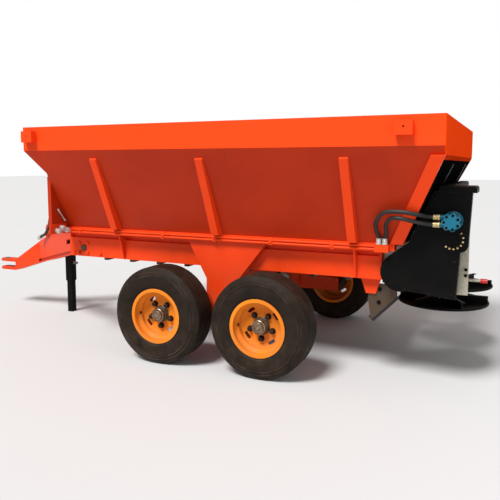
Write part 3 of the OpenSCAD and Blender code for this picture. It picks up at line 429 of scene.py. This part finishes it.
def hex_bolt(name, across):
    """A hex head, chamfered on top, on a round washer. It stands on Z = 0, across wide over its corners."""
    tall = 0.36 * across
    chamfer = 0.1 * across
    crown = 0.05 * across
    washer = 0.09 * across
    washer_r = 0.64 * across
    bpy.ops.object.select_all(action="DESELECT")
    bpy.ops.mesh.primitive_cylinder_add(vertices=6, radius=across / 2, depth=tall,
                                        location=(0, 0, tall / 2 + washer))
    bpy.ops.object.transform_apply(location=True)
    head = bpy.context.object
    head.name = name
    bpy.ops.object.mode_set(mode="EDIT")
    bpy.ops.mesh.select_mode(type="FACE")
    bpy.ops.mesh.select_all(action="DESELECT")
    bpy.ops.object.mode_set(mode="OBJECT")
    for face in head.data.polygons:
        face.select = face.normal.z > 0.9
    bpy.ops.object.mode_set(mode="EDIT")
    bpy.ops.mesh.inset(thickness=chamfer, depth=crown)
    bpy.ops.mesh.primitive_cylinder_add(vertices=16, radius=washer_r, depth=washer,
                                        location=(0, 0, washer / 2))
    bpy.ops.object.mode_set(mode="OBJECT")
    return head


HUB_CAP = [(0, -0.004), (0.0535, -0.004), (0.0535, 0.006), (0.050, 0.009), (0.045, 0.009),
           (0.043, 0.005), (0.040, 0.005), (0.038, 0.015), (0.034, 0.017), (0.029, 0.017),
           (0.027, 0.0135), (0.020, 0.0135), (0.018, 0.017), (0.010, 0.018), (0, 0.018)]
disc_face = 0.028
cap_face = disc_face + 0.052
stud_r = 0.092
stud_turns = [2 * math.pi * i / 5 for i in range(5)]
nut_across = 0.036
nut_tall = Matrix.Diagonal((1, 1, 1.75, 1))
for corner in CORNERS:
    end, side = corner.split("_")
    out = math.copysign(1, axle_y[side])
    centre = Vector((axle_x[end], axle_y[side], axle_z))
    nut = hex_bolt(f"wheel_nuts_{corner}", nut_across)
    nut.data.transform(nut_tall)
    seats = [centre + Vector((stud_r * math.sin(a), out * disc_face, -stud_r * math.cos(a)))
             for a in stud_turns]
    nuts = set_out(nut, [(seat, (0, out, 0)) for seat in seats])
    finished(nuts, f"wheel_{corner}", nut_steel)
    cap = set_out(turned(f"hub_cap_{corner}", HUB_CAP, steps=40),
                  [(centre + Vector((0, out * cap_face, 0)), (0, out, 0))])
    finished(cap, f"wheel_{corner}", cap_steel, angle=0.3)

# Valve stems: each tube's rubber-covered stem comes out of the rim's well beside a hand hole and is
# closed by a screw cap. It turns with its wheel.
STEM = [(0, -0.008), (0.009, -0.006), (0.0085, 0.004), (0.006, 0.008), (0.0055, 0.026), (0.0045, 0.027),
        (0.0045, 0.030), (0.006, 0.031), (0.006, 0.041), (0.004, 0.043), (0, 0.043)]
stem_r = 0.171
stem_out = 0.062
stem_lean = -0.45
for corner in CORNERS:
    end, side = corner.split("_")
    out = math.copysign(1, axle_y[side])
    foot = (axle_x[end] + stem_r, axle_y[side] + out * stem_out, axle_z)
    stem = set_out(turned(f"valve_stem_{corner}", STEM, steps=14), [(foot, (stem_lean, out, 0))])
    finished(stem, f"wheel_{corner}", tyre_rubber)

# Frame: folded steel beams with stepped sides, gussets and sills, sprayed orange, painted brighter than the
# orange elsewhere as painted light on the beams' shaded webs. Hex bolts hold the idler's bearings and the
# brackets under the front end.
# A brighter copy of the orange: painted light, on the frame, its ribs, pipes and clips, and on the hopper's
# band.
orange_lit_beam = (0.93, 0.062, 0.006, 1)
orange_frame_lit = painted("orange_paint_frame_lit", orange_lit_beam, orange, orange_chip,
                       roughness=0.38, dust_amount=0.14, dust_reach=1.0, wear_amount=0.5)
dress(orange_frame_lit, "frame_left", "frame_right", "crossmembers", "sill_left", "sill_right")


def side_bolts(name, across, seats, finish):
    """Hex bolts on the chassis, each on its seat and facing out from the machine's side."""
    places = [(seat, (0, math.copysign(1, seat[1]), 0)) for seat in seats]
    return finished(set_out(hex_bolt(name, across), places), "chassis", finish)


frame_face = 0.690
idler = (0.803, 0.810)
bearing_half = (0.045, 0.042)
bearing_bolts = [(idler[0] + across * bearing_half[0], idler[1] + up * bearing_half[1])
                 for across in (-1, 1) for up in (-1, 1)]
bracket_bolts = [(0.905, 0.768), (0.845, 0.768), (0.62, 0.768)]
frame_seats = [(x, side * frame_face, z) for x, z in bearing_bolts + bracket_bolts for side in SIDES]
side_bolts("frame_bolts", 0.026, frame_seats, orange_frame_lit)

# Drawbar and stand: plate rails welded to a boxed nose with a clevis, whose bore has a steel bush at each
# ear. The black stand leg is held in its sleeve by a spring plunger with a pull knob.
orange_drawbar = painted("orange_paint_drawbar", orange, orange_deep, orange_chip,
                         roughness=0.40, dust_amount=0.20, dust_reach=1.0, wear_amount=0.7)
dress(orange_drawbar, "drawbar_left", "drawbar_right", "hitch_nose", "hose_holder")

black = (0.0028, 0.0030, 0.0032, 1)
black_deep = (0.0016, 0.0017, 0.0018, 1)
black_chip = (0.07, 0.062, 0.055, 1)
black_paint = painted("black_paint", black, black_deep, black_chip,
                      roughness=0.42, dust_amount=0.025, dust_reach=1.2, wear_amount=0.5, specular=0.07)
dress(black_paint, "stand_sleeve", "stand_leg")

PLUNGER = [(0, 0), (0.016, 0), (0.016, 0.006), (0.011, 0.008), (0.011, 0.030), (0.007, 0.032),
           (0.007, 0.038), (0.013, 0.040), (0.013, 0.050), (0.010, 0.053), (0, 0.053)]
sleeve_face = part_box("stand_sleeve")[0].x
plunger_z = 0.52
plunger = set_out(turned("stand_plunger", PLUNGER, steps=20), [((sleeve_face, 0, plunger_z), (-1, 0, 0))])
finished(plunger, "chassis", bare_steel)

BUSH = [(0.017, 0), (0.030, 0), (0.030, 0.004), (0.027, 0.006), (0.017, 0.006), (0.017, 0)]
hitch_x = 2.475
ear_top = 0.510
ear_low = 0.394
bushes = set_out(turned("hitch_bushes", BUSH, steps=28),
                 [((hitch_x, 0, ear_top), (0, 0, 1)), ((hitch_x, 0, ear_low), (0, 0, -1))])
finished(bushes, "chassis", bare_steel)

# Hopper: four sheet walls, seam-welded and folded in at the rim, with tapered ribs, corner posts and stake
# pockets. Large painted sheets are never quite flat, so the paint's reflections wave a little. The walls'
# orange is darkened as painted shade, and the band over its fold is a brighter orange as painted light. The
# rear wall, with the unit below it, is painted black under its band as painted shade.
# A darker copy of the orange: painted shade on the hopper's walls, which slope to face down.
orange_shaded_sheet = (0.50, 0.031, 0.0034, 1)
orange_shaded_sheet_deep = (0.41, 0.0245, 0.0027, 1)
sheet_wave = {"scale": 2.6, "strength": 0.35, "depth": 0.012}
band_z = 1.655
rear_band_z = 1.600
rear_shade_z = 1.572
light_shade_edge = 0.002


def light_and_shade_coat(material, colour, start, full, under_side=False):
    """Paints another colour from one height on, as painted light or painted shade: from where it starts to
    where it covers; on under sides if told.
    """
    tree = material.node_tree
    base = tree.nodes["Principled BSDF"].inputs["Base Color"]
    spot = add_node(tree, "ShaderNodeTexCoord")
    height = add_node(tree, "ShaderNodeSeparateXYZ", {"Vector": spot.outputs["Object"]})
    mask = stretch(tree, height.outputs["Z"], start, full)
    if under_side:
        facing = add_node(tree, "ShaderNodeSeparateXYZ", {"Vector": spot.outputs["Normal"]})
        mask = times(tree, mask, stretch(tree, facing.outputs["Z"], -0.05, -0.15))
    tree.links.new(mix(tree, mask, base.links[0].from_socket, colour), base)


def sheet_paint_and_light(name, fold_z):
    """The hopper's orange, darkened as painted shade, with a brighter orange as painted light on the band
    over its fold.
    """
    material = painted(name, orange_shaded_sheet, orange_shaded_sheet_deep, orange_chip, roughness=0.42,
                       dust_amount=0.06, dust_reach=1.2, wear_amount=0.45, surface=sheet_wave)
    light_and_shade_coat(material, orange_lit_beam, fold_z, fold_z + light_shade_edge)
    return material


orange_hopper_and_light = sheet_paint_and_light("orange_paint_and_light_hopper", band_z)
dress(orange_hopper_and_light, "hopper_left", "hopper_right", "hopper_front")
rear_wall_paint_and_shade = sheet_paint_and_light("rear_wall_paint_and_shade", rear_band_z)
# Specular and coat are off on the whole rear wall, so its painted shade shows no reflection.
shader = rear_wall_paint_and_shade.node_tree.nodes["Principled BSDF"]
shader.inputs["Specular IOR Level"].default_value = 0.0
shader.inputs["Coat Weight"].default_value = 0.0
# Painted shade: black on the rear wall's under sides below its band.
light_and_shade_coat(rear_wall_paint_and_shade, black, rear_shade_z, rear_shade_z - light_shade_edge, under_side=True)
dress(rear_wall_paint_and_shade, "hopper_rear_wall")
# The gate guides are black all over, to go on with the painted shade under the rear band.
dress(black_paint, "gate_guides")
dress(orange_frame_lit, "ribs_left", "ribs_right")

# Welds: rippled beads of steel, laid by hand where each rib's edges meet the hopper's wall and where the
# drawbar's rails meet its nose and the frame. They are painted over with the steel beside them.
bead_r = 0.007
bead_step = 0.010
bead_shape = Matrix.Diagonal((0.6, 0.6, 1.1, 1))


def weld(name, runs, finish):
    """A weld along straight runs: one flat bead is repeated along each by an array, and all are joined."""
    beads = []
    for start, end in runs:
        along = Vector(end) - Vector(start)
        bpy.ops.object.select_all(action="DESELECT")
        bpy.ops.mesh.primitive_ico_sphere_add(subdivisions=1, radius=bead_r)
        bead = bpy.context.object
        bead.data.transform(bead_shape)
        array = bead.modifiers.new("ripples", "ARRAY")
        array.count = max(2, round(along.length / bead_step))
        array.use_relative_offset = False
        array.use_constant_offset = True
        array.constant_offset_displace = (0, 0, bead_step)
        bpy.ops.object.modifier_apply(modifier=array.name)
        turn = along.to_track_quat("Z", "Y").to_matrix().to_4x4()
        bead.data.transform(Matrix.Translation(start) @ turn)
        beads.append(bead)
    return finished(joined(name, beads), "chassis", finish, angle=1.2)


RIB_X = (0.361, -0.585, -1.653)
rib_half = 0.031
rib_foot = (0.769, 1.008)
rib_head = (1.066, 1.586)
rib_runs = []
for x in RIB_X:
    for edge_x in (x - rib_half, x + rib_half):
        for side in SIDES:
            foot = (edge_x, side * rib_foot[0], rib_foot[1])
            head = (edge_x, side * rib_head[0], rib_head[1])
            rib_runs.append((foot, head))
weld("rib_welds", rib_runs, orange_frame_lit)

nose_edge = (1.955, 0.061)
nose_z = (0.508, 0.712)
rail_foot = (0.960, 0.651)
rail_foot_z = (0.795, 0.948)
drawbar_runs = []
for (x, y), (low, high) in ((nose_edge, nose_z), (rail_foot, rail_foot_z)):
    for side in SIDES:
        drawbar_runs.append(((x, side * y, low), (x, side * y, high)))
weld("drawbar_welds", drawbar_runs, orange_drawbar)

# Conveyor: link chains with steel slats over a worn deck, all bare or rusty metal; the feed gate and the
# chute are hot-dip galvanised sheet with its pale spangle.
zinc_pale = (0.62, 0.585, 0.46, 1)
zinc_grey = (0.46, 0.435, 0.345, 1)
galvanised, tree, shader = new_material("galvanised", {"Metallic": 0.45})
spot = add_node(tree, "ShaderNodeTexCoord")
spangle = add_node(tree, "ShaderNodeTexVoronoi", {"Vector": spot.outputs["Object"], "Scale": 60.0})
flake = add_node(tree, "ShaderNodeSeparateColor", {"Color": spangle.outputs["Color"]}).outputs["Red"]
settled = use_group(tree, dust, amount=0.35, reach=1.3).outputs["Mask"]
tone = mix(tree, flake, zinc_grey, zinc_pale)
tree.links.new(mix(tree, settled, tone, dust_brown), shader.inputs["Base Color"])
tree.links.new(stretch(tree, flake, 0.0, 1.0, 0.36, 0.52), shader.inputs["Roughness"])
add_grain(galvanised, scale=90.0, strength=0.1)
dress(galvanised, "feed_gate", "chute_left", "chute_right", "chute_back", "gate_handle")

# Rear unit: the chain guard, hood and spinner beam are black enamelled sheet, bolted round their edges,
# with a ring of small plated screws on the guard. The blue orbital motor on it has a bolt in each lobe of
# its end cover, and black bolts hold the splash plates and the chute's edges.
dress(black_paint, "chain_guard", "chute_hood", "spinner_beam", "spinner_left", "spinner_right")
guard_face = 0.760
GUARD_EDGE = [(-1.895, 0.885), (-1.905, 0.735), (-2.005, 0.692), (-2.165, 0.675), (-2.315, 0.680),
              (-2.325, 0.90), (-2.372, 1.085), (-2.400, 1.320), (-2.200, 1.335), (-2.110, 1.170),
              (-2.040, 1.040)]
side_bolts("guard_bolts", 0.020, [(x, guard_face, z) for x, z in GUARD_EDGE], black_paint)

plated_yellow = (0.58, 0.40, 0.12, 1)
plated_pale = (0.70, 0.56, 0.32, 1)
zinc_bolts = mottled("zinc_bolts", {"Metallic": 0.35}, plated_yellow, plated_pale,
                     scale=60.0, detail=3.0, spread=(0.0, 1.0), gloss=(0.25, 0.45))
motor_x = -2.310
motor_z = 1.178
tension_z = 1.056
tension_r = 0.066
tension_turns = [math.radians(degrees) for degrees in (-35, -10, 15, 38, 61, 84, 106, 128)]
tension_seats = [(motor_x - tension_r * math.cos(a), guard_face, tension_z - tension_r * math.sin(a))
                 for a in tension_turns]
side_bolts("tension_bolts", 0.011, tension_seats, zinc_bolts)

motor_bright = (0.012, 0.165, 0.25, 1)
motor_deep = (0.008, 0.105, 0.165, 1)
motor_blue = painted("motor_blue", motor_bright, motor_deep, bare_steel_grey,
                     roughness=0.35, dust_amount=0.1, dust_reach=1.2, wear_amount=0.8)
dress(motor_blue, "conveyor_motor", "spinner_motors")
cover_face = guard_face + 0.146
lobe_r = 0.043
lobe_turns = [2 * math.pi * i / 7 for i in range(7)]
motor_seats = [(motor_x + lobe_r * math.cos(a), cover_face, motor_z + lobe_r * math.sin(a))
               for a in lobe_turns]
side_bolts("motor_bolts", 0.017, motor_seats, black_paint)

splash_face = 0.628
SPLASH_BOLTS = [(-1.812, 0.653), (-1.807, 0.557)]
splash_seats = [(x, side * splash_face, z) for x, z in SPLASH_BOLTS for side in SIDES]
side_bolts("splash_bolts", 0.024, splash_seats, black_paint)
chute_face = 0.620
chute_edge = {1: -2.388, -1: -2.268}
chute_bolt_z = (0.795, 0.835, 1.03)
chute_seats = [(x, side * chute_face, z) for side, x in chute_edge.items() for z in chute_bolt_z]
side_bolts("chute_bolts", 0.018, chute_seats, black_paint)

# Spinner discs: pressed steel dishes with folded vanes under black paint. Six bare hex bolts hold each disc
# to the hub on its motor's shaft, and they turn with it.
spinner_x = -2.215
spinner_y = 0.33
hub_top = 0.568
hub_bolt_r = 0.043
hub_turns = [2 * math.pi * i / 6 for i in range(6)]
for side in SIDES:
    body = "spinner_left" if side > 0 else "spinner_right"
    centre = Vector((spinner_x, side * spinner_y, hub_top))
    seats = [centre + Vector((hub_bolt_r * math.cos(a), hub_bolt_r * math.sin(a), 0))
             for a in hub_turns]
    bolts = set_out(hex_bolt(f"{body}_bolts", 0.018), [(seat, (0, 0, 1)) for seat in seats])
    finished(bolts, body, bare_steel)

# Hydraulics: rubber hoses with pressed ferrules, brass-coloured at the motor and plated at the sill blocks.
# Each hose runs straight out of its fittings and bends freely between them.
hose_r = 0.014
hose_black = (0.016, 0.0155, 0.015, 1)
hose_rubber = mottled("black_rubber", {"Specular IOR Level": 0.4}, hose_black, rubber_worn,
                      scale=40.0, detail=4.0, spread=(0.45, 0.8), gloss=(0.40, 0.62))
add_grain(hose_rubber, scale=350.0, strength=0.3)
dress(hose_rubber, "splash_flap")

ROUTES = {
    "pressure_hose": [
        (-2.2346, 0.832, 1.203), (-2.193, 0.832, 1.203), (-2.095, 0.9395, 1.226),
        (-1.995, 0.956, 1.240), (-1.890, 0.9375, 1.228), (-1.833, 0.893, 1.1605),
        (-1.829, 0.847, 1.0895), (-1.836, 0.807, 1.0404), (-1.836, 0.807, 1.0004)],
    "return_hose": [
        (-2.2346, 0.832, 1.153), (-2.193, 0.832, 1.153), (-2.095, 0.915, 1.174),
        (-2.005, 0.947, 1.196), (-1.935, 0.927, 1.190), (-1.897, 0.8855, 1.1375),
        (-1.895, 0.842, 1.080), (-1.877, 0.807, 1.0404), (-1.877, 0.807, 1.0004)],
    "feed_hose": [
        (0.923, 0.807, 1.0004), (0.923, 0.807, 1.0404), (0.975, 0.785, 1.1055),
        (1.095, 0.7005, 1.1295), (1.2455, 0.5995, 1.0895), (1.375, 0.490, 1.019),
        (1.505, 0.370, 0.944), (1.595, 0.305, 0.8795), (1.6645, 0.2675, 0.838),
        (1.7355, 0.240, 0.8115)],
}
route_steps = 8


def smooth_route(points):
    """Points of a smooth curve through a hose's chosen points, straight in the fitting at each end."""
    spots = [Vector(point) for point in points]
    last = len(spots) - 1
    lean = [(spots[min(i + 1, last)] - spots[max(i - 1, 0)]) / 2 for i in range(last + 1)]
    first_bend = (spots[2] - spots[1]).length
    last_bend = (spots[last - 1] - spots[last - 2]).length
    lean[1] = (spots[1] - spots[0]).normalized() * first_bend
    lean[last - 1] = (spots[last] - spots[last - 1]).normalized() * last_bend
    fine = []
    for i in range(last):
        run = spots[i + 1] - spots[i]
        for step in range(route_steps):
            t = step / route_steps
            if i in (0, last - 1):
                fine.append(spots[i] + run * t)
            else:
                moved = run * (3 * t ** 2 - 2 * t ** 3)
                leaving = lean[i] * (t ** 3 - 2 * t ** 2 + t)
                arriving = lean[i + 1] * (t ** 3 - t ** 2)
                fine.append(spots[i] + moved + leaving + arriving)
    return fine + [spots[-1]]


def hose(node):
    """A smooth round hose on a CAD hose's route, which it stands for."""
    fine = smooth_route(ROUTES[node])
    line = bpy.data.curves.new(node, "CURVE")
    line.dimensions = "3D"
    line.bevel_depth = hose_r
    line.bevel_resolution = 6
    line.use_fill_caps = True
    spline = line.splines.new("POLY")
    spline.points.add(len(fine) - 1)
    for point, spot in zip(spline.points, fine):
        point.co = (*spot, 1)
    piece = bpy.data.objects.new(f"{node}_skin", line)
    bpy.context.collection.objects.link(piece)
    bpy.ops.object.select_all(action="DESELECT")
    piece.select_set(True)
    bpy.context.view_layer.objects.active = piece
    bpy.ops.object.convert(target="MESH")
    piece = bpy.context.object
    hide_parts(node)
    finished(piece, "chassis", hose_rubber, angle=1.2)
    return fine


paths = {node: hose(node) for node in ROUTES}

FERRULE = [(0, 0), (0.011, 0), (0.014, 0.002), (0.0195, 0.002), (0.0195, 0.013), (0.0145, 0.015),
           (0.0178, 0.017), (0.0178, 0.023), (0.0167, 0.0245), (0.0178, 0.026), (0.0178, 0.032),
           (0.0167, 0.0335), (0.0178, 0.035), (0.0178, 0.042), (0.0145, 0.044), (0, 0.044)]


def ferrule(name, ends, finish):
    """Pressed ferrules that stand on hose ends and point along the hose."""
    places = []
    for node, at_start in ends:
        fine = paths[node] if at_start else paths[node][::-1]
        places.append((fine[0], fine[3] - fine[0]))
    return finished(set_out(turned(name, FERRULE, steps=20), places), "chassis", finish)


plated_grey = (0.52, 0.52, 0.50, 1)
plated_light = (0.72, 0.71, 0.68, 1)
zinc_plate = mottled("zinc_plate", {"Metallic": 0.5}, plated_grey, plated_light,
                     scale=80.0, detail=3.0, spread=(0.0, 1.0), gloss=(0.25, 0.42))
ferrule("motor_unions", [("pressure_hose", True), ("return_hose", True)], zinc_bolts)
ferrule("block_unions", [("pressure_hose", False), ("return_hose", False), ("feed_hose", True)], zinc_plate)

# Couplings: turned and plated push-on ends for the tractor's oil hoses. One closes the feed hose, and three
# are parked on a plate at the bulkhead's left wing, with a tap's lever over them. Two caps screw on the
# valve block.
COUPLER = [(0, -0.02), (0.013, -0.02), (0.013, 0.0), (0.019, 0.002), (0.019, 0.018),
           (0.0165, 0.020), (0.0165, 0.026), (0.021, 0.028), (0.021, 0.046), (0.018, 0.049),
           (0.018, 0.060), (0.009, 0.062), (0, 0.062)]
feed_path = paths["feed_hose"]
coupler = set_out(turned("feed_coupler", COUPLER, steps=20),
                  [(feed_path[-1], feed_path[-1] - feed_path[-4])])
finished(coupler, "chassis", zinc_plate)


def block(name, size, edge, segments):
    """A steel bar cut to size about the origin, with its edges rounded."""
    bpy.ops.object.select_all(action="DESELECT")
    bpy.ops.mesh.primitive_cube_add(size=1)
    piece = bpy.context.object
    piece.name = name
    piece.data.transform(Matrix.Diagonal((*size, 1)))
    bpy.ops.object.mode_set(mode="EDIT")
    bpy.ops.mesh.select_all(action="SELECT")
    bpy.ops.mesh.bevel(offset=edge, segments=segments, affect="EDGES")
    bpy.ops.object.mode_set(mode="OBJECT")
    return piece


wing_back = 0.896
plate_thick = 0.008
plate_y = (0.800, 0.996)
plate_z = (0.957, 1.040)
plate_size = (plate_thick, plate_y[1] - plate_y[0], plate_z[1] - plate_z[0])
plate_middle = (wing_back - plate_thick / 2, sum(plate_y) / 2, sum(plate_z) / 2)
plate = block("coupling_plate", plate_size, edge=0.0025, segments=2)
plate.data.transform(Matrix.Translation(plate_middle))
finished(plate, "chassis", orange_drawbar)

bank_x = wing_back - 0.010
bank_seats = [(bank_x, 0.830, 0.985), (bank_x, 0.880, 1.008), (bank_x, 0.930, 0.985)]
bank_facing = (-1, 0.25, -0.1)
bank = set_out(turned("coupling_bank", COUPLER, steps=20), [(seat, bank_facing) for seat in bank_seats])
finished(bank, "chassis", zinc_plate)

LEVER = [(0, 0), (0.011, 0), (0.011, 0.012), (0.006, 0.014), (0.006, 0.100),
         (0.009, 0.103), (0.009, 0.128), (0.006, 0.131), (0, 0.131)]
tap = (wing_back - 0.014, 0.828, 1.062)
lever_facing = (0, 0.62, 0.78)
lever = set_out(turned("tap_lever", LEVER, steps=16), [(tap, lever_facing)])
finished(lever, "chassis", zinc_plate)

CAP = [(0, 0), (0.017, 0), (0.019, 0.003), (0.019, 0.012), (0.016, 0.015),
       (0.016, 0.022), (0.019, 0.024), (0.019, 0.034), (0.014, 0.038), (0, 0.038)]
valve_y = 0.424
valve_top = 1.034
VALVE_X = (1.241, 1.283)
caps = set_out(turned("valve_caps", CAP, steps=20), [((x, valve_y, valve_top), (0, 0, 1)) for x in VALVE_X])
finished(caps, "chassis", bare_steel)

# Pipes: two steel oil pipes run along the left sill. Steel clips hold them to it, each with one bolt
# through its middle, and all of it is painted with the sill.
dress(orange_frame_lit, "oil_pipes")
clip_wide = 0.030
clip_deep = 0.024
clip_tall = 0.054
clip_y = 0.786
clip_z = 0.9735
CLIP_X = (-1.50, -1.03, -0.56, -0.09, 0.38, 0.75)
clip = block("pipe_clips", (clip_wide, clip_tall, clip_deep), edge=0.006, segments=3)
clips = set_out(clip, [((x, clip_y, clip_z), (0, 1, 0)) for x in CLIP_X])
finished(clips, "chassis", orange_frame_lit)
clip_face = clip_y + clip_deep / 2
side_bolts("clip_bolts", 0.016, [(x, clip_face, clip_z) for x in CLIP_X], orange_frame_lit)

# Grip: a moulded sleeve of red plastic, pushed on the end of the handle at the chute's back. Sun and hands
# have faded it unevenly.
red_deep = (0.55, 0.012, 0.012, 1)
red_faded = (0.70, 0.03, 0.025, 1)
plastic_red = mottled("red_plastic", {"Specular IOR Level": 0.5}, red_deep, red_faded,
                      scale=30.0, detail=3.0, spread=(0.0, 1.0), gloss=(0.35, 0.5))
dress(plastic_red, "handle_grip")
